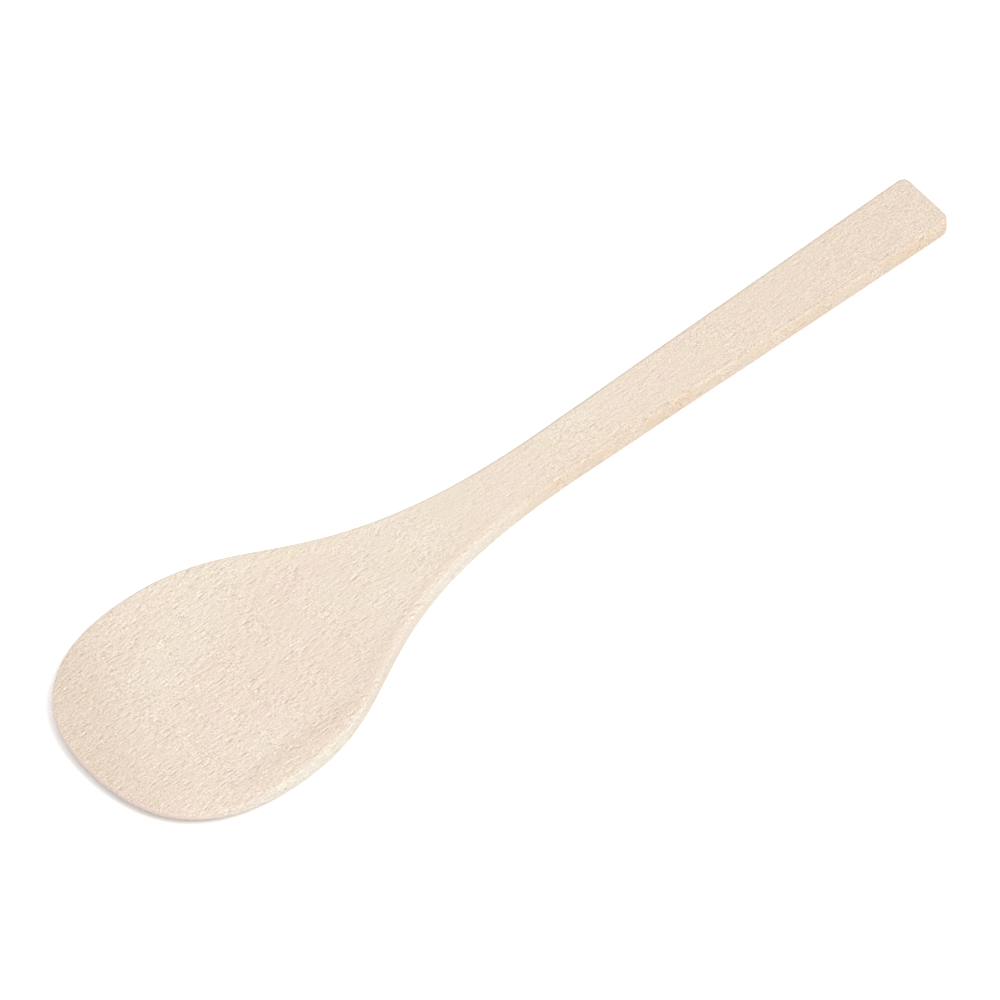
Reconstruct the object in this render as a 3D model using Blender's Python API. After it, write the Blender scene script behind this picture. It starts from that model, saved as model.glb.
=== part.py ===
# Wooden spatula, cut from one board of beech: an egg-shaped blade with a shallow dish and a thin,
# lifted nose, a neck that flares into it, and a flat handle that widens towards a square end.
# Metres, +Z up. X runs with the grain from the nose to the handle's end, and Z = 0 is the face it
# rests on. The object's origin lies under the middle of its length.

from math import cos, pi, radians, sin

import bmesh
import bpy
from mathutils import Vector
from mathutils.geometry import interpolate_bezier

# Outline, seen from above; distances along X are measured back from the nose
LENGTH = 0.300
BLADE_WIDTH = 0.0763
WIDEST_AT = 0.0404
NECK_WIDTH = 0.0160
NECK_AT = 0.1687
END_WIDTH = 0.0193
END_CORNER_RADIUS = 0.0024

# Fullness of the outline's curves, as the reach of each curve handle over the span it crosses
NOSE_FULLNESS = 0.85
CHEEK_FULLNESS = 0.45
SHOULDER_FULLNESS = 0.358
NECK_FULLNESS = 0.67

# Side view
THICKNESS = 0.0075
NOSE_THICKNESS = 0.0020
NOSE_LIFT = 0.0024
HEEL_AT = 0.075
TOP_SLOPE_ENDS = 0.090
TOP_SLOPE_POWER = 3.2
EDGE_RADIUS = 0.0015

# Shallow dish in the blade's upper face, running out along the neck; each shoulder is the share
# of the half width over which the dish goes down from the rim to its floor
DISH_DEPTH = 0.0009
DISH_STARTS = 0.006
DISH_DEEP_FROM = 0.032
DISH_DEEP_TO = 0.050
DISH_ENDS = 0.140
DISH_SHOULDER_AT_NOSE = 0.34
DISH_SHOULDER_AT_NECK = 0.14

# How fast the rows of the surface straighten out behind the nose
BOW_FADE = 4

# Place of the rim on a row that runs from 0 to 1 across the surface
AT_RIM = 0.0

# Mesh density
HALF_COLUMNS = 8
SHOULDER_STEPS = 26
HANDLE_STEPS = 12
CORNER_STEPS = 3
ROUND_STEPS = 3
SHARP_ANGLE = radians(40)

# Sanded, unoiled beech
BEECH_COLOR = (0.80, 0.67, 0.53, 1.0)
BEECH_ROUGHNESS = 0.65


def clear_scene():
    """Start from an empty scene."""
    for item in list(bpy.data.objects):
        bpy.data.objects.remove(item, do_unlink=True)


def ease(value, start, end):
    """Rise smoothly from 0 at start to 1 at end."""
    share = min(max((value - start) / (end - start), 0.0), 1.0)
    return share * share * (3.0 - 2.0 * share)


def curve(start, start_handle, end_handle, end, steps):
    """Points along one cubic curve in plan, with both ends."""
    knots = [Vector((x, y, 0.0)) for x, y in (start, start_handle, end_handle, end)]
    return [point.to_2d() for point in interpolate_bezier(*knots, steps + 1)]


def line(start, end, steps):
    """Points along a straight edge in plan, with both ends."""
    return [Vector(start).lerp(Vector(end), step / steps) for step in range(steps + 1)]


def arc(centre, radius, steps):
    """Quarter circle in plan from +Y round to +X, with both ends."""
    angles = [pi / 2 * (1.0 - step / steps) for step in range(steps + 1)]
    return [Vector((centre[0] + radius * cos(angle), centre[1] + radius * sin(angle))) for angle in angles]


def half_outline():
    """The +Y half of the outline, from the nose to the middle of the handle's end."""
    blade_y = BLADE_WIDTH / 2
    neck_y = NECK_WIDTH / 2
    end_y = END_WIDTH / 2
    shoulder_span = NECK_AT - WIDEST_AT
    corner_x = LENGTH - END_CORNER_RADIUS
    corner_y = end_y - END_CORNER_RADIUS
    handle_slope = (end_y - neck_y) / (corner_x - NECK_AT)
    neck_reach = NECK_FULLNESS * shoulder_span

    cheek = curve(
        (0.0, 0.0),
        (0.0, NOSE_FULLNESS * blade_y),
        (WIDEST_AT * (1.0 - CHEEK_FULLNESS), blade_y),
        (WIDEST_AT, blade_y),
        2 * HALF_COLUMNS,
    )
    shoulder = curve(
        (WIDEST_AT, blade_y),
        (WIDEST_AT + SHOULDER_FULLNESS * shoulder_span, blade_y),
        (NECK_AT - neck_reach, neck_y - handle_slope * neck_reach),
        (NECK_AT, neck_y),
        SHOULDER_STEPS,
    )
    handle = line((NECK_AT, neck_y), (corner_x, end_y), HANDLE_STEPS)
    corner = arc((corner_x, corner_y), END_CORNER_RADIUS, 2 * CORNER_STEPS)
    end_edge = line((LENGTH, corner_y), (LENGTH, 0.0), HALF_COLUMNS - CORNER_STEPS)
    return cheek + shoulder[1:] + handle[1:] + corner[1:] + end_edge[1:]


def patch_size():
    """Rows and columns of the four-sided patch that the outline is divided into."""
    rows = HALF_COLUMNS + SHOULDER_STEPS + HANDLE_STEPS + CORNER_STEPS
    return rows, 2 * HALF_COLUMNS


def border_places(rows, columns):
    """Every (row, column) on the patch's border, anticlockwise from above: nose, -Y side, end, +Y side."""
    nose = [(0, column) for column in range(columns)]
    right_side = [(row, columns) for row in range(rows)]
    end = [(rows, column) for column in range(columns, 0, -1)]
    left_side = [(row, 0) for row in range(rows, 0, -1)]
    return nose + right_side + end + left_side


def outline_points():
    """The whole outline as a dictionary from border place to point in plan.

    The first row follows the rounded nose and the last row follows the handle's end, so each side
    starts on a cheek of the blade and stops halfway round a corner of the handle.
    """
    rows, columns = patch_size()
    half = half_outline()
    places = border_places(rows, columns)
    nose_middle = places.index((0, HALF_COLUMNS))
    points = {}
    for step, point in enumerate(half):
        points[places[nose_middle - step]] = point
        points[places[(nose_middle + step) % len(places)]] = Vector((point.x, -point.y))
    return points


def fill_patch(border):
    """Plan points of a full patch: straight rows from side to side, bowed to meet the nose and the end."""
    rows, columns = patch_size()
    patch = {}
    for row in range(rows + 1):
        nose_share = (1.0 - row / rows) ** BOW_FADE
        end_share = (row / rows) ** BOW_FADE
        for column in range(columns + 1):
            across = column / columns
            nose_bow = border[0, column] - border[0, 0].lerp(border[0, columns], across)
            end_bow = border[rows, column] - border[rows, 0].lerp(border[rows, columns], across)
            straight = border[row, 0].lerp(border[row, columns], across)
            patch[row, column] = straight + nose_bow * nose_share + end_bow * end_share
    return patch


def underside(reach, across):
    """Height of the underside: flat behind the heel, curving up to the lifted nose, level across."""
    return NOSE_LIFT * max(1.0 - reach / HEEL_AT, 0.0) ** 2


def dish_depth(reach, across):
    """Depth of the dish on a row, at a place from 0 to 1 across it."""
    lengthwise = ease(reach, DISH_STARTS, DISH_DEEP_FROM) - ease(reach, DISH_DEEP_TO, DISH_ENDS)
    towards_neck = ease(reach, DISH_DEEP_FROM, DISH_ENDS)
    shoulder = DISH_SHOULDER_AT_NOSE + (DISH_SHOULDER_AT_NECK - DISH_SHOULDER_AT_NOSE) * towards_neck
    inward = 1.0 - abs(2.0 * across - 1.0)
    return DISH_DEPTH * lengthwise * ease(inward, 0.0, shoulder)


def upper_face(reach, across):
    """Height of the upper face: a rim that slopes down to the thin nose, less the dish inside it."""
    drop = THICKNESS - NOSE_LIFT - NOSE_THICKNESS
    rim = THICKNESS - drop * max(1.0 - reach / TOP_SLOPE_ENDS, 0.0) ** TOP_SLOPE_POWER
    return rim - dish_depth(reach, across)


def edge_section(reach):
    """(inset, height) of each step round the edge, from the underside's rim up to the upper rim."""
    low = underside(reach, AT_RIM)
    high = upper_face(reach, AT_RIM)
    radius = EDGE_RADIUS / THICKNESS * (high - low)
    angles = [pi / 2 * step / ROUND_STEPS for step in range(ROUND_STEPS + 1)]
    lower = [(radius * (1.0 - sin(angle)), low + radius * (1.0 - cos(angle))) for angle in angles]
    upper = [(inset, low + high - height) for inset, height in reversed(lower)]
    return lower + upper


def outward_normals(loop):
    """Outward direction at each point of an anticlockwise loop, from the two edges that meet there."""
    normals = []
    for index, point in enumerate(loop):
        before = point - loop[index - 1]
        after = loop[(index + 1) % len(loop)] - point
        tangent = before.normalized() * after.length + after.normalized() * before.length
        normals.append(Vector((tangent.y, -tangent.x)).normalized())
    return normals


def add_face(bm, rim, reaches, height_at, facing_up):
    """Fill the space inside one rim with a sheet whose height follows a rule of row and column."""
    rows, columns = patch_size()
    plan = fill_patch({place: vertex.co.to_2d() for place, vertex in rim.items()})
    sheet = dict(rim)
    for row in range(1, rows):
        for column in range(1, columns):
            x, y = plan[row, column]
            sheet[row, column] = bm.verts.new((x, y, height_at(reaches[row], column / columns)))
    for row in range(rows):
        for column in range(columns):
            corners = [(row, column), (row, column + 1), (row + 1, column + 1), (row + 1, column)]
            if not facing_up:
                corners.reverse()
            bm.faces.new([sheet[corner] for corner in corners])


def spatula_mesh():
    """One closed body: the rounded edge all the way round, then the underside and the upper face."""
    rows, columns = patch_size()
    outline = outline_points()
    places = border_places(rows, columns)
    spread = fill_patch(outline)
    reaches = [spread[row, HALF_COLUMNS].x for row in range(rows + 1)]
    normals = outward_normals([outline[place] for place in places])

    bm = bmesh.new()
    strips = []
    for place, normal in zip(places, normals):
        strip = []
        for inset, height in edge_section(reaches[place[0]]):
            x, y = outline[place] - normal * inset
            strip.append(bm.verts.new((x, y, height)))
        strips.append(strip)
    for index, strip in enumerate(strips):
        following = strips[(index + 1) % len(strips)]
        for step in range(len(strip) - 1):
            bm.faces.new((strip[step], following[step], following[step + 1], strip[step + 1]))

    lower_rim = {place: strip[0] for place, strip in zip(places, strips)}
    upper_rim = {place: strip[-1] for place, strip in zip(places, strips)}
    add_face(bm, lower_rim, reaches, underside, False)
    add_face(bm, upper_rim, reaches, upper_face, True)

    bmesh.ops.translate(bm, verts=bm.verts, vec=(-LENGTH / 2, 0.0, 0.0))
    mesh = bpy.data.meshes.new("spatula")
    bm.to_mesh(mesh)
    bm.free()
    mesh.shade_smooth()
    mesh.set_sharp_from_angle(angle=SHARP_ANGLE)
    return mesh


def beech():
    """Pale, matt beech."""
    material = bpy.data.materials.new("beech")
    material.use_nodes = True
    shader = material.node_tree.nodes["Principled BSDF"]
    shader.inputs["Base Color"].default_value = BEECH_COLOR
    shader.inputs["Roughness"].default_value = BEECH_ROUGHNESS
    shader.inputs["Metallic"].default_value = 0.0
    return material


def build():
    clear_scene()
    collection = bpy.data.collections.new("wooden_spatula")
    bpy.context.scene.collection.children.link(collection)
    spatula = bpy.data.objects.new("spatula", spatula_mesh())
    spatula.data.materials.append(beech())
    collection.objects.link(spatula)


build()
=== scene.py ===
# Looks of the one-piece wooden spatula: a fine mesh of the same surfaces as the solid's, procedural
# beech, a white table, an even fill and a soft key light from the picture's right. Metres; X runs
# with the grain from the nose to the handle's end, and the spatula rests on Z = 0.

from math import cos, pi, radians, sin

import bmesh
import bpy
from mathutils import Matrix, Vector, noise
from mathutils.geometry import interpolate_bezier


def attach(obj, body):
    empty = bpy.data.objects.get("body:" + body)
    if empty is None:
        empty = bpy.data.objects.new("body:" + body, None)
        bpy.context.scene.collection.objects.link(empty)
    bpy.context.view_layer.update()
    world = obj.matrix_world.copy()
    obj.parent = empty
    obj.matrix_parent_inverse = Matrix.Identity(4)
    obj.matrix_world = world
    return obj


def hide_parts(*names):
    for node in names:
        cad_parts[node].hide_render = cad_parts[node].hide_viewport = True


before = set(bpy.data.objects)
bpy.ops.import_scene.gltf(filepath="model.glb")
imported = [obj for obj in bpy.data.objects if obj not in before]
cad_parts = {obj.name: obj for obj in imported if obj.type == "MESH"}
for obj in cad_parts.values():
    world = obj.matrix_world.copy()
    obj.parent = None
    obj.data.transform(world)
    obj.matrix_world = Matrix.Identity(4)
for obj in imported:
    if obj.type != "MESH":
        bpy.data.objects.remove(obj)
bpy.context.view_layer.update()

# Outline, as the solid has it; distances along X are measured back from the nose
LENGTH = 0.300
BLADE_WIDTH = 0.0763
WIDEST_AT = 0.0404
NECK_WIDTH = 0.0160
NECK_AT = 0.1687
END_WIDTH = 0.0193
END_CORNER_RADIUS = 0.0024

# Fullness of the outline's curves, as the reach of each curve handle over the span it crosses
NOSE_FULLNESS = 0.85
CHEEK_FULLNESS = 0.45
SHOULDER_FULLNESS = 0.358
NECK_FULLNESS = 0.67

# Side view, as the solid has it
THICKNESS = 0.0075
NOSE_THICKNESS = 0.0020
NOSE_LIFT = 0.0024
HEEL_AT = 0.075
TOP_SLOPE_ENDS = 0.090
TOP_SLOPE_POWER = 3.2
EDGE_RADIUS = 0.0015

# Dish, as the solid has it; each shoulder is the share of the half width over which the dish goes
# down from the rim to its floor
DISH_DEPTH = 0.0009
DISH_STARTS = 0.006
DISH_DEEP_FROM = 0.032
DISH_DEEP_TO = 0.050
DISH_ENDS = 0.140
DISH_SHOULDER_AT_NOSE = 0.34
DISH_SHOULDER_AT_NECK = 0.14

# How fast the rows of the surface straighten out behind the nose
BOW_FADE = 4

# Place of the rim on a row that runs from 0 to 1 across the surface
AT_RIM = 0.0

# Mesh density
HALF_COLUMNS = 32
SHOULDER_STEPS = 104
HANDLE_STEPS = 48
CORNER_STEPS = 12
ROUND_STEPS = 7

# What sanding by hand leaves: faces with low waves, which are shorter across the grain
UNEVENNESS = 0.00005
UNEVEN_SPAN = 0.018
UNEVEN_CROSSWISE = 1.6

# Noise in the wood: the size of its features along X, Y and Z, and where it starts. The fuzz's
# size along Z keeps the handle's flat face, at THICKNESS, off the planes where its noise is weak.
CLOUDS = {"size": (0.040, 0.018, 0.018), "detail": 3.0}
TINTS = {"size": (0.016, 0.008, 0.010), "detail": 3.0, "start": (0.3, 0.1, 0.2)}
PATCHES = {"size": (0.0075, 0.0045, 0.0060), "start": (0.1, 0.4, 0.1)}
STREAKS = {"size": (0.060, 0.0022, 0.0022), "detail": 3.0, "roughness": 0.6}
FIBRES = {"size": (0.0030, 0.00060, 0.00060), "roughness": 0.6}
FUZZ = {"size": (0.00030, 0.00023, 0.00024), "detail": 1.0}
GRAIN = {"size": (0.0030, 0.00038, 0.00060), "roughness": 0.6}
NOISE_MEAN = 0.5

# A point's lee lies this far across the grain and along it. What differs between a point and its
# lee gives each mark a painted pale side and a painted dark side, the highlight and shade that a
# low relief shows under a lamp.
LEE_ACROSS = 0.00060
LEE_ALONG = (0.0002, 0.0, 0.0)

# Base tones of the wood, as 0-255 display values
TONES = {
    "cream": (236, 223, 207),
    "pink": (236, 218, 203),
    "straw": (234, 221, 199),
    "handle": (232, 215, 198),
    # nose: darker, painted shade where the upper face slopes down to the nose
    "nose": (228, 210, 192),
    "stripe": (224, 200, 182),
    # handle_edge_shade: painted shade that dulls the lamps' brighter light on the rounded edge
    # along the handle
    "handle_edge_shade": (225, 208, 190),
    # lit_blade_side: a paler tone on the blade's side walls, painted light
    "lit_blade_side": (245, 236, 222),
    "handle_side": (240, 224, 204),
    "rusty_side": (240, 214, 189),
    # lit_pink_nose_side: partly painted light that brightens the nose's wall, which the lamps
    # barely reach, and partly a pinker end-grain tint
    "lit_pink_nose_side": (252, 230, 219),
    "end_face": (230, 211, 197),
}

# The names with _BY_ are rules from a reading to a result: the reading where the change starts,
# the one where it ends, and the result at each. Noise and each cell's random numbers are read from
# 0 to 1, places in metres, and directions as the parts of a unit normal.

# How much of each tone there is
PINK_BY_HEART = (0.35, 0.65, 0.0, 1.0)
STRAW_BY_TINTS = (0.40, 0.75, 0.0, 0.7)
HANDLE_BY_X = (0.04, 0.15, 0.0, 1.0)
# How much painted shade darkens the nose
NOSE_SHADE_BY_X = (-0.120, -0.148, 0.0, 0.85)
STRIPE_BY_OFFSET = (0.0040, 0.0, 0.0, 1.0)
STRIPE_STARTS_BY_X = (-0.136, -0.110, 0.0, 1.0)
STRIPE_ENDS_BY_X = (-0.060, -0.085, 0.0, 1.0)
STRIPE_BY_STREAKS = (0.30, 0.60, 0.1, 0.45)
HANDLE_EDGE_BY_X = (-0.035, 0.024, 0.0, 1.0)
ROUNDED_BY_UPRIGHT = (0.995, 0.92, 0.0, 1.0)
NOT_WALL_BY_UPRIGHT = (0.30, 0.65, 0.0, 1.0)
RUSTY_BY_TINTS = (0.45, 0.70, 0.0, 0.8)
SIDE_BY_UPRIGHT = (0.85, 0.35, 0.0, 1.0)
# Where the nose's wall takes its painted light and pinker end grain
NOSE_SIDE_BY_FACING = (-0.10, -0.90, 0.0, 1.0)
END_FACE_BY_FACING = (0.10, 0.95, 0.0, 1.0)
# Share of painted shade on the handle's rounded edge
HANDLE_EDGE_SHADE_SHARE = 0.9

# The heartwood lies towards -Y, and the nose's painted shade has a slanting border: change of the
# reading per metre of Y
HEART_SLOPE = 5.0
NOSE_SLANT = 0.5

# Middle of the darker stripe along the blade
STRIPE_Y = -0.0300

# Flecks: one dash to a cell, with its own reach and strength, by how deep a point lies inside it
FLECK_SIZE = (0.0036, 0.00050, 0.0030)
FLECK_REACH_BY_RANDOM = (0.0, 1.0, 0.14, 0.36)
FLECK_STRENGTH_BY_RANDOM = (0.0, 1.0, 0.10, 0.85)
FLECK_BY_DEPTH = (-0.06, 0.10, 0.0, 1.0)
FLECK_MEAN = 0.08

# How much each kind of mark lightens or darkens the tone, as a share of it
FUZZ_GAIN = 1.50
FIBRE_GAIN = 0.05
STREAK_GAIN = 0.04
# The relief's gain is that of painted highlight and shade, and the pale flecks' gain that of
# painted highlights
PAINTED_RELIEF_GAIN = 0.42
DARK_FLECK_GAIN = -0.31
FLECK_HIGHLIGHT_GAIN = 0.22

# Where the marks are stronger and weaker, and their share of red, green and blue
STROKES_BY_X = (-0.045, -0.005, 1.0, 0.56)
MARKS_BY_PATCHES = (0.36, 0.62, 0.84, 1.05)
BLADE_MARKS_BY_X = (-0.095, -0.060, 1.02, 0.80)
HANDLE_MARKS_BY_X = (-0.01, 0.03, 1.0, 1.36)
MARK_COLOUR = (0.85, 1.0, 1.15)

# Relief that the lamps pick out, and the shine
BUMP_DEPTH = 0.00004
BUMP_GRAIN = 1.0
BUMP_FUZZ = 0.6
BUMP_FLECK = -1.0
ROUGHNESS_BY_FIBRES = (0.3, 0.8, 0.58, 0.74)
SPECULAR_LEVEL = 0.30

# Table: its height is just under the spatula. The camera sees it brighter than it lights the wood,
# so that it comes out white and keeps only the deeper part of the spatula's shadow.
TABLE_HALF = 4.0
TABLE_Z = -0.00005
TABLE_SEEN = (1.4, 1.4, 1.4, 1.0)
TABLE_BOUNCE = (0.8, 0.8, 0.8, 1.0)

# Light: the fill's strength, and the world's for the camera, where 1 is white. The key's angles
# are in degrees, and its turn is from the picture's right, below 0 towards the camera.
FILL_STRENGTH = 0.78
BACKDROP_STRENGTH = 1.0
KEY_STRENGTH = 0.97
KEY_ELEVATION = 55
KEY_TURN = -25
KEY_SOFTNESS = 30

# Camera, at the photograph's angle in degrees; the last two say how far the object's origin lies
# right of the picture's middle and above it
CAMERA_ELEVATION = 52.73
CAMERA_TURN = 40.60
CAMERA_DISTANCE = 12.0
CLIP_END = 34.0
SENSOR = 12.0
IMAGE_SIZE = 1000
PIXELS_PER_METRE = 3665.6
PIXELS_RIGHT = 11.97
PIXELS_UP = 5.01


def ease(value, start, end):
    """Rise smoothly from 0 at start to 1 at end."""
    share = min(max((value - start) / (end - start), 0.0), 1.0)
    return share * share * (3.0 - 2.0 * share)


def curve(start, start_handle, end_handle, end, steps):
    """Points along one cubic curve in plan, with both ends."""
    knots = [Vector((x, y, 0.0)) for x, y in (start, start_handle, end_handle, end)]
    return [point.to_2d() for point in interpolate_bezier(*knots, steps + 1)]


def line(start, end, steps):
    """Points along a straight edge in plan, with both ends."""
    return [Vector(start).lerp(Vector(end), step / steps) for step in range(steps + 1)]


def arc(centre, radius, steps):
    """Quarter circle in plan from +Y round to +X, with both ends."""
    x, y = centre
    angles = [pi / 2 * (1.0 - step / steps) for step in range(steps + 1)]
    return [Vector((x + radius * cos(angle), y + radius * sin(angle))) for angle in angles]


def half_outline():
    """The +Y half of the outline, from the nose to the middle of the handle's end."""
    blade_y = BLADE_WIDTH / 2
    neck_y = NECK_WIDTH / 2
    end_y = END_WIDTH / 2
    shoulder_span = NECK_AT - WIDEST_AT
    corner_x = LENGTH - END_CORNER_RADIUS
    corner_y = end_y - END_CORNER_RADIUS
    handle_slope = (end_y - neck_y) / (corner_x - NECK_AT)
    neck_reach = NECK_FULLNESS * shoulder_span

    cheek = curve(
        (0.0, 0.0),
        (0.0, NOSE_FULLNESS * blade_y),
        (WIDEST_AT * (1.0 - CHEEK_FULLNESS), blade_y),
        (WIDEST_AT, blade_y),
        2 * HALF_COLUMNS,
    )
    shoulder = curve(
        (WIDEST_AT, blade_y),
        (WIDEST_AT + SHOULDER_FULLNESS * shoulder_span, blade_y),
        (NECK_AT - neck_reach, neck_y - handle_slope * neck_reach),
        (NECK_AT, neck_y),
        SHOULDER_STEPS,
    )
    handle = line((NECK_AT, neck_y), (corner_x, end_y), HANDLE_STEPS)
    corner = arc((corner_x, corner_y), END_CORNER_RADIUS, 2 * CORNER_STEPS)
    end_edge = line((LENGTH, corner_y), (LENGTH, 0.0), HALF_COLUMNS - CORNER_STEPS)
    return cheek + shoulder[1:] + handle[1:] + corner[1:] + end_edge[1:]


def patch_size():
    """Rows and columns of the four-sided patch that the outline is divided into."""
    rows = HALF_COLUMNS + SHOULDER_STEPS + HANDLE_STEPS + CORNER_STEPS
    return rows, 2 * HALF_COLUMNS


def border_places(rows, columns):
    """Every (row, column) on the patch's border, anticlockwise: nose, -Y side, end, +Y side."""
    nose = [(0, column) for column in range(columns)]
    right_side = [(row, columns) for row in range(rows)]
    end = [(rows, column) for column in range(columns, 0, -1)]
    left_side = [(row, 0) for row in range(rows, 0, -1)]
    return nose + right_side + end + left_side


def outline_points():
    """The whole outline as a dictionary from border place to point in plan."""
    places = border_places(*patch_size())
    nose_middle = places.index((0, HALF_COLUMNS))
    points = {}
    for step, point in enumerate(half_outline()):
        points[places[nose_middle - step]] = point
        points[places[(nose_middle + step) % len(places)]] = Vector((point.x, -point.y))
    return points


def fill_patch(border):
    """Plan points of a full patch: straight rows, bowed near the nose and the end to meet them."""
    rows, columns = patch_size()
    patch = {}
    for row in range(rows + 1):
        nose_share = (1.0 - row / rows) ** BOW_FADE
        end_share = (row / rows) ** BOW_FADE
        for column in range(columns + 1):
            across = column / columns
            nose_bow = border[0, column] - border[0, 0].lerp(border[0, columns], across)
            end_bow = border[rows, column] - border[rows, 0].lerp(border[rows, columns], across)
            straight = border[row, 0].lerp(border[row, columns], across)
            patch[row, column] = straight + nose_bow * nose_share + end_bow * end_share
    return patch


def underside(reach, across):
    """Height of the underside: flat behind the heel, curving up to the nose, level across."""
    return NOSE_LIFT * max(1.0 - reach / HEEL_AT, 0.0) ** 2


def dish_depth(reach, across):
    """Depth of the dish on a row, at a place from 0 to 1 across it."""
    lengthwise = ease(reach, DISH_STARTS, DISH_DEEP_FROM) - ease(reach, DISH_DEEP_TO, DISH_ENDS)
    towards_neck = ease(reach, DISH_DEEP_FROM, DISH_ENDS)
    shoulder_change = DISH_SHOULDER_AT_NECK - DISH_SHOULDER_AT_NOSE
    shoulder = DISH_SHOULDER_AT_NOSE + shoulder_change * towards_neck
    inward = 1.0 - abs(2.0 * across - 1.0)
    return DISH_DEPTH * lengthwise * ease(inward, 0.0, shoulder)


def upper_face(reach, across):
    """Height of the upper face: a rim that slopes down to the nose, less the dish inside it."""
    drop = THICKNESS - NOSE_LIFT - NOSE_THICKNESS
    rim = THICKNESS - drop * max(1.0 - reach / TOP_SLOPE_ENDS, 0.0) ** TOP_SLOPE_POWER
    return rim - dish_depth(reach, across)


def sanding(x, y, z):
    """How far sanding went below the true face at a place, from 0 to UNEVENNESS."""
    wave = noise.noise(Vector((x, y * UNEVEN_CROSSWISE, z)) / UNEVEN_SPAN)
    return UNEVENNESS * min(max(0.5 + wave, 0.0), 1.0)


def edge_section(reach):
    """(inset, height) of each step round the edge, from the lower rim up to the upper rim."""
    low = underside(reach, AT_RIM)
    high = upper_face(reach, AT_RIM)
    radius = EDGE_RADIUS / THICKNESS * (high - low)
    angles = [pi / 2 * step / ROUND_STEPS for step in range(ROUND_STEPS + 1)]
    lower = [(radius * (1.0 - sin(angle)), low + radius * (1.0 - cos(angle))) for angle in angles]
    upper = [(inset, low + high - height) for inset, height in reversed(lower)]
    return lower + upper


def outward_normals(loop):
    """Outward direction at each point of an anticlockwise loop, from the two edges there."""
    normals = []
    for index, point in enumerate(loop):
        before = point - loop[index - 1]
        after = loop[(index + 1) % len(loop)] - point
        tangent = before.normalized() * after.length + after.normalized() * before.length
        normals.append(Vector((tangent.y, -tangent.x)).normalized())
    return normals


def add_face(bm, rim, reaches, height_at, facing_up):
    """Fill the space inside a rim with a sheet whose height follows a rule of row and column."""
    rows, columns = patch_size()
    plan = fill_patch({place: vertex.co.to_2d() for place, vertex in rim.items()})
    sheet = dict(rim)
    for row in range(1, rows):
        for column in range(1, columns):
            x, y = plan[row, column]
            sheet[row, column] = bm.verts.new((x, y, height_at(reaches[row], column / columns)))
    for row in range(rows):
        for column in range(columns):
            corners = [(row, column), (row, column + 1), (row + 1, column + 1), (row + 1, column)]
            if not facing_up:
                corners.reverse()
            bm.faces.new([sheet[corner] for corner in corners])


def spatula_mesh():
    """One closed body: the rounded edge all the way round, the underside and the upper face."""
    rows, columns = patch_size()
    outline = outline_points()
    places = border_places(rows, columns)
    spread = fill_patch(outline)
    reaches = [spread[row, HALF_COLUMNS].x for row in range(rows + 1)]
    normals = outward_normals([outline[place] for place in places])

    bm = bmesh.new()
    strips = []
    for place, normal in zip(places, normals):
        strip = []
        for inset, height in edge_section(reaches[place[0]]):
            x, y = outline[place] - normal * inset
            strip.append(bm.verts.new((x, y, height)))
        strips.append(strip)
    for index, strip in enumerate(strips):
        following = strips[(index + 1) % len(strips)]
        for step in range(len(strip) - 1):
            bm.faces.new((strip[step], following[step], following[step + 1], strip[step + 1]))

    lower_rim = {place: strip[0] for place, strip in zip(places, strips)}
    upper_rim = {place: strip[-1] for place, strip in zip(places, strips)}
    add_face(bm, lower_rim, reaches, underside, False)
    add_face(bm, upper_rim, reaches, upper_face, True)

    bmesh.ops.translate(bm, verts=bm.verts, vec=(-LENGTH / 2, 0.0, 0.0))

    bm.normal_update()
    moves = [(vertex, vertex.normal * sanding(*vertex.co)) for vertex in bm.verts]
    for vertex, move in moves:
        vertex.co -= move
    mesh = bpy.data.meshes.new("spatula_wood")
    bm.to_mesh(mesh)
    bm.free()
    mesh.shade_smooth()
    return mesh


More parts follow.
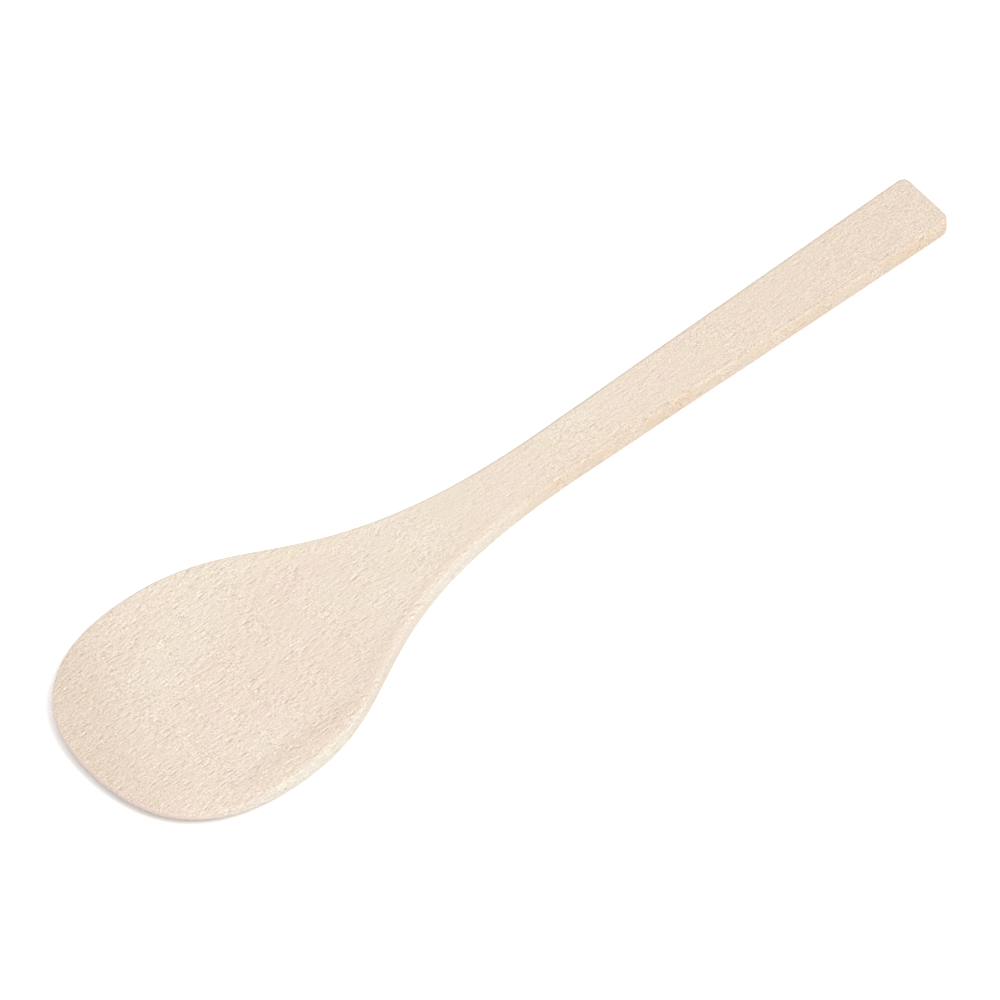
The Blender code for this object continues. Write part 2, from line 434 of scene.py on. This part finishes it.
class Nodes:
    """Short names for the shader nodes that the materials are wired from."""

    def __init__(self, material):
        material.use_nodes = True
        self.tree = material.node_tree
        self.tree.nodes.clear()

    def new(self, kind, inputs=None, **settings):
        """Add a node with its settings, and feed its sockets."""
        node = self.tree.nodes.new(kind)
        for name, value in settings.items():
            setattr(node, name, value)
        for name, value in (inputs or {}).items():
            self.feed(node.inputs[name], value)
        return node

    def feed(self, socket, value):
        """Link a socket to an output, or set it to a plain value."""
        if isinstance(value, bpy.types.NodeSocket):
            self.tree.links.new(value, socket)
        else:
            socket.default_value = value

    def math(self, operation, first, second=0.0):
        """Result of one operation on one or two numbers."""
        return self.new("ShaderNodeMath", {0: first, 1: second}, operation=operation).outputs[0]

    def vector_math(self, operation, inputs):
        """Result of one operation on vectors."""
        return self.new("ShaderNodeVectorMath", inputs, operation=operation).outputs[0]

    def product(self, result, *factors):
        """All the numbers multiplied together."""
        for factor in factors:
            result = self.math("MULTIPLY", result, factor)
        return result

    def total(self, *terms):
        """Sum of gain * (value - mean) over terms of (value, gain, mean)."""
        result = -sum(gain * mean for value, gain, mean in terms)
        for value, gain, mean in terms:
            inputs = {0: value, 1: gain, 2: result}
            result = self.new("ShaderNodeMath", inputs, operation="MULTIPLY_ADD").outputs[0]
        return result

    def shift(self, vector, offset):
        """The same coordinates from another starting point."""
        return self.vector_math("ADD", {0: vector, 1: offset})

    def stretch(self, vector, size):
        """Coordinates in which one unit is size metres along each axis."""
        return self.vector_math("MULTIPLY", {0: vector, 1: [1.0 / part for part in size]})

    def noise(self, vector, size, detail=2.0, roughness=0.5, start=None):
        """Noise from 0 to 1 whose features measure size metres along X, Y and Z."""
        if start:
            vector = self.shift(vector, start)
        inputs = {
            "Vector": self.stretch(vector, size),
            "Scale": 1.0,
            "Detail": detail,
            "Roughness": roughness,
        }
        return self.new("ShaderNodeTexNoise", inputs).outputs["Fac"]

    def flecks(self, vector):
        """Short dashes along X, one to a cell, each of its own reach and strength."""
        inputs = {"Vector": self.stretch(vector, FLECK_SIZE), "Scale": 1.0}
        cell = self.new("ShaderNodeTexVoronoi", inputs).outputs
        random = self.new("ShaderNodeSeparateColor", {"Color": cell["Color"]}).outputs
        reach = self.ramp(random["Red"], FLECK_REACH_BY_RANDOM)
        strength = self.ramp(random["Green"], FLECK_STRENGTH_BY_RANDOM)
        depth = self.math("SUBTRACT", reach, cell["Distance"])
        return self.product(self.ramp(depth, FLECK_BY_DEPTH), strength)

    def ramp(self, value, rule):
        """Follow a rule smoothly from its start to its end, and hold its result beyond both."""
        names = ("From Min", "From Max", "To Min", "To Max")
        inputs = {"Value": value, **dict(zip(names, rule))}
        return self.new("ShaderNodeMapRange", inputs, interpolation_type="SMOOTHSTEP").outputs[0]

    def mix(self, factor, first, second):
        """Blend from the first colour, at 0, to the second, at 1."""
        inputs = {"Factor": factor, "A": first, "B": second}
        return self.new("ShaderNodeMix", inputs, data_type="RGBA").outputs["Result"]


def srgb(red, green, blue):
    """A colour picked as 0-255 display values, as the renderer's linear light."""
    channels = []
    for value in (red, green, blue):
        share = value / 255
        channels.append(share / 12.92 if share <= 0.04045 else ((share + 0.055) / 1.055) ** 2.4)
    return (*channels, 1.0)


def wood_tone(n, place, normal, streaks):
    """Base tone: slow changes over the faces, and tones of their own for the walls and edges. The
    darker nose and the rounded handle edge are painted shade; the paler blade walls and the nose
    wall are painted light, the nose wall also a pinker end grain.
    """
    tones = {name: srgb(*values) for name, values in TONES.items()}
    x, y, _ = n.new("ShaderNodeSeparateXYZ", {"Vector": place}).outputs
    facing_x, _, facing_z = n.new("ShaderNodeSeparateXYZ", {"Vector": normal}).outputs
    upright = n.math("ABSOLUTE", facing_z)
    clouds = n.noise(place, **CLOUDS)
    tints = n.noise(place, **TINTS)

    heart = n.math("SUBTRACT", clouds, n.product(y, HEART_SLOPE))
    tone = n.mix(n.ramp(heart, PINK_BY_HEART), tones["cream"], tones["pink"])
    tone = n.mix(n.ramp(tints, STRAW_BY_TINTS), tone, tones["straw"])
    tone = n.mix(n.ramp(x, HANDLE_BY_X), tone, tones["handle"])
    # Darker towards the nose: painted shade where the upper face slopes down to it
    towards_nose = n.math("SUBTRACT", x, n.product(y, NOSE_SLANT))
    tone = n.mix(n.ramp(towards_nose, NOSE_SHADE_BY_X), tone, tones["nose"])

    offset = n.math("ABSOLUTE", n.math("SUBTRACT", y, STRIPE_Y))
    stripe = n.product(
        n.ramp(offset, STRIPE_BY_OFFSET),
        n.ramp(x, STRIPE_STARTS_BY_X),
        n.ramp(x, STRIPE_ENDS_BY_X),
        n.ramp(streaks, STRIPE_BY_STREAKS),
    )
    tone = n.mix(stripe, tone, tones["stripe"])

    on_handle = n.ramp(x, HANDLE_EDGE_BY_X)
    # Painted shade on the rounded edge along the handle, which the lamps would light brighter than
    # the face
    rounded = n.product(n.ramp(upright, ROUNDED_BY_UPRIGHT), n.ramp(upright, NOT_WALL_BY_UPRIGHT))
    tone = n.mix(n.product(rounded, on_handle, HANDLE_EDGE_SHADE_SHARE), tone, tones["handle_edge_shade"])
    rusty = n.ramp(tints, RUSTY_BY_TINTS)
    handle_side = n.mix(rusty, tones["handle_side"], tones["rusty_side"])
    # The blade's walls take a paler tone that is painted light; the handle's walls take the
    # side-grain tones
    side = n.mix(on_handle, tones["lit_blade_side"], handle_side)
    tone = n.mix(n.ramp(upright, SIDE_BY_UPRIGHT), tone, side)
    # The nose's wall: painted light, with a pinker end-grain tint
    tone = n.mix(n.ramp(facing_x, NOSE_SIDE_BY_FACING), tone, tones["lit_pink_nose_side"])
    return n.mix(n.ramp(facing_x, END_FACE_BY_FACING), tone, tones["end_face"])


def beech_material():
    """Sanded, unoiled beech: slow changes of tone, and small marks that lighten and darken it, some
    of them painted highlight and shade of a low relief.
    """
    material = bpy.data.materials.new("beech_wood")
    n = Nodes(material)
    coordinates = n.new("ShaderNodeTexCoord").outputs
    place = coordinates["Object"]
    normal = coordinates["Normal"]
    x = n.new("ShaderNodeSeparateXYZ", {"Vector": place}).outputs["X"]

    across_grain = n.vector_math("CROSS_PRODUCT", {0: (1.0, 0.0, 0.0), 1: normal})
    lee = n.shift(place, n.vector_math("SCALE", {0: across_grain, "Scale": LEE_ACROSS}))
    lee = n.shift(lee, LEE_ALONG)

    patches = n.noise(place, **PATCHES)
    streaks = n.noise(place, **STREAKS)
    fibres = n.noise(place, **FIBRES)
    fuzz = n.noise(place, **FUZZ)
    grain = n.noise(place, **GRAIN)
    # Painted highlight and shade of a low relief along the grain
    painted_relief_shading = n.math("SUBTRACT", n.noise(lee, **GRAIN), grain)
    dark_flecks = n.flecks(place)
    # Pale flecks beside the dark ones: painted highlights
    painted_fleck_highlights = n.flecks(lee)

    speckle = n.total(
        (fuzz, FUZZ_GAIN, NOISE_MEAN),
        (fibres, FIBRE_GAIN, NOISE_MEAN),
        (streaks, STREAK_GAIN, NOISE_MEAN),
    )
    strokes = n.total(
        (painted_relief_shading, PAINTED_RELIEF_GAIN, 0.0),
        (dark_flecks, DARK_FLECK_GAIN, FLECK_MEAN),
        (painted_fleck_highlights, FLECK_HIGHLIGHT_GAIN, FLECK_MEAN),
    )
    marks = n.product(
        n.math("ADD", speckle, n.product(strokes, n.ramp(x, STROKES_BY_X))),
        n.ramp(patches, MARKS_BY_PATCHES),
        n.ramp(x, BLADE_MARKS_BY_X),
        n.ramp(x, HANDLE_MARKS_BY_X),
    )
    lightness = n.vector_math("MULTIPLY_ADD", {0: marks, 1: MARK_COLOUR, 2: (1.0, 1.0, 1.0)})
    tone = wood_tone(n, place, normal, streaks)

    height = n.total(
        (grain, BUMP_GRAIN, NOISE_MEAN),
        (fuzz, BUMP_FUZZ, NOISE_MEAN),
        (dark_flecks, BUMP_FLECK, 0.0),
    )
    bump = n.new("ShaderNodeBump", {"Height": height, "Strength": 1.0, "Distance": BUMP_DEPTH})

    shader_inputs = {
        "Base Color": n.vector_math("MULTIPLY", {0: tone, 1: lightness}),
        "Roughness": n.ramp(fibres, ROUGHNESS_BY_FIBRES),
        "Specular IOR Level": SPECULAR_LEVEL,
        "Normal": bump.outputs[0],
    }
    shader = n.new("ShaderNodeBsdfPrincipled", shader_inputs)
    n.new("ShaderNodeOutputMaterial", {"Surface": shader.outputs[0]})
    return material


def table_material():
    """Matt white, of one strength for the camera and another for the light that it throws back."""
    material = bpy.data.materials.new("white_table")
    n = Nodes(material)
    seen = n.new("ShaderNodeLightPath").outputs["Is Camera Ray"]
    colour = n.mix(seen, TABLE_BOUNCE, TABLE_SEEN)
    shader = n.new("ShaderNodeBsdfDiffuse", {"Color": colour})
    n.new("ShaderNodeOutputMaterial", {"Surface": shader.outputs[0]})
    return material


def make_floor():
    """A wide white table."""
    half = TABLE_HALF
    corners = [(-half, -half), (half, -half), (half, half), (-half, half)]
    mesh = bpy.data.meshes.new("table_top")
    mesh.from_pydata([(x, y, TABLE_Z) for x, y in corners], [], [range(len(corners))])
    mesh.materials.append(table_material())
    table = bpy.data.objects.new("table_top", mesh)
    bpy.context.scene.collection.objects.link(table)


def make_light():
    """A broad key light from the picture's right and an even fill from all round."""
    scene = bpy.context.scene
    world = bpy.data.worlds.new("studio_fill")
    world.use_nodes = True
    tree = world.node_tree
    background = tree.nodes["Background"]
    path = tree.nodes.new("ShaderNodeLightPath")
    strength = tree.nodes.new("ShaderNodeMix")
    strength.inputs["A"].default_value = FILL_STRENGTH
    strength.inputs["B"].default_value = BACKDROP_STRENGTH
    tree.links.new(path.outputs["Is Camera Ray"], strength.inputs["Factor"])
    tree.links.new(strength.outputs["Result"], background.inputs["Strength"])
    background.inputs["Color"].default_value = (1.0, 1.0, 1.0, 1.0)
    scene.world = world

    lamp = bpy.data.lights.new("key_light", "SUN")
    lamp.energy = KEY_STRENGTH
    lamp.angle = radians(KEY_SOFTNESS)
    key = bpy.data.objects.new("key_light", lamp)
    scene.collection.objects.link(key)
    turn = radians(KEY_TURN - CAMERA_TURN)
    level = radians(KEY_ELEVATION)
    towards = Vector((cos(turn) * cos(level), sin(turn) * cos(level), sin(level)))
    key.rotation_euler = towards.to_track_quat("Z", "Y").to_euler()
    key.location = towards


def make_camera():
    """A long lens far off, so that the handle's sides stay as parallel as in the photograph."""
    lens = bpy.data.cameras.new("camera")
    lens.type = "PERSP"
    lens.sensor_width = SENSOR
    lens.lens = SENSOR * CAMERA_DISTANCE * PIXELS_PER_METRE / IMAGE_SIZE
    lens.clip_end = CLIP_END
    camera = bpy.data.objects.new("camera", lens)
    bpy.context.scene.collection.objects.link(camera)
    turn = radians(CAMERA_TURN)
    level = radians(CAMERA_ELEVATION)
    back = Vector((-sin(turn) * cos(level), -cos(turn) * cos(level), sin(level)))
    right = Vector((cos(turn), -sin(turn), 0.0))
    up = back.cross(right)
    aim = -(right * PIXELS_RIGHT + up * PIXELS_UP) / PIXELS_PER_METRE
    camera.location = aim + back * CAMERA_DISTANCE
    camera.rotation_euler = back.to_track_quat("Z", "Y").to_euler()
    bpy.context.scene.camera = camera


wood = bpy.data.objects.new("spatula_wood", spatula_mesh())
bpy.context.scene.collection.objects.link(wood)
wood.data.materials.append(beech_material())
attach(wood, "root")
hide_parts("spatula")

make_floor()
make_light()
make_camera()
bpy.context.scene.view_settings.view_transform = "Standard"
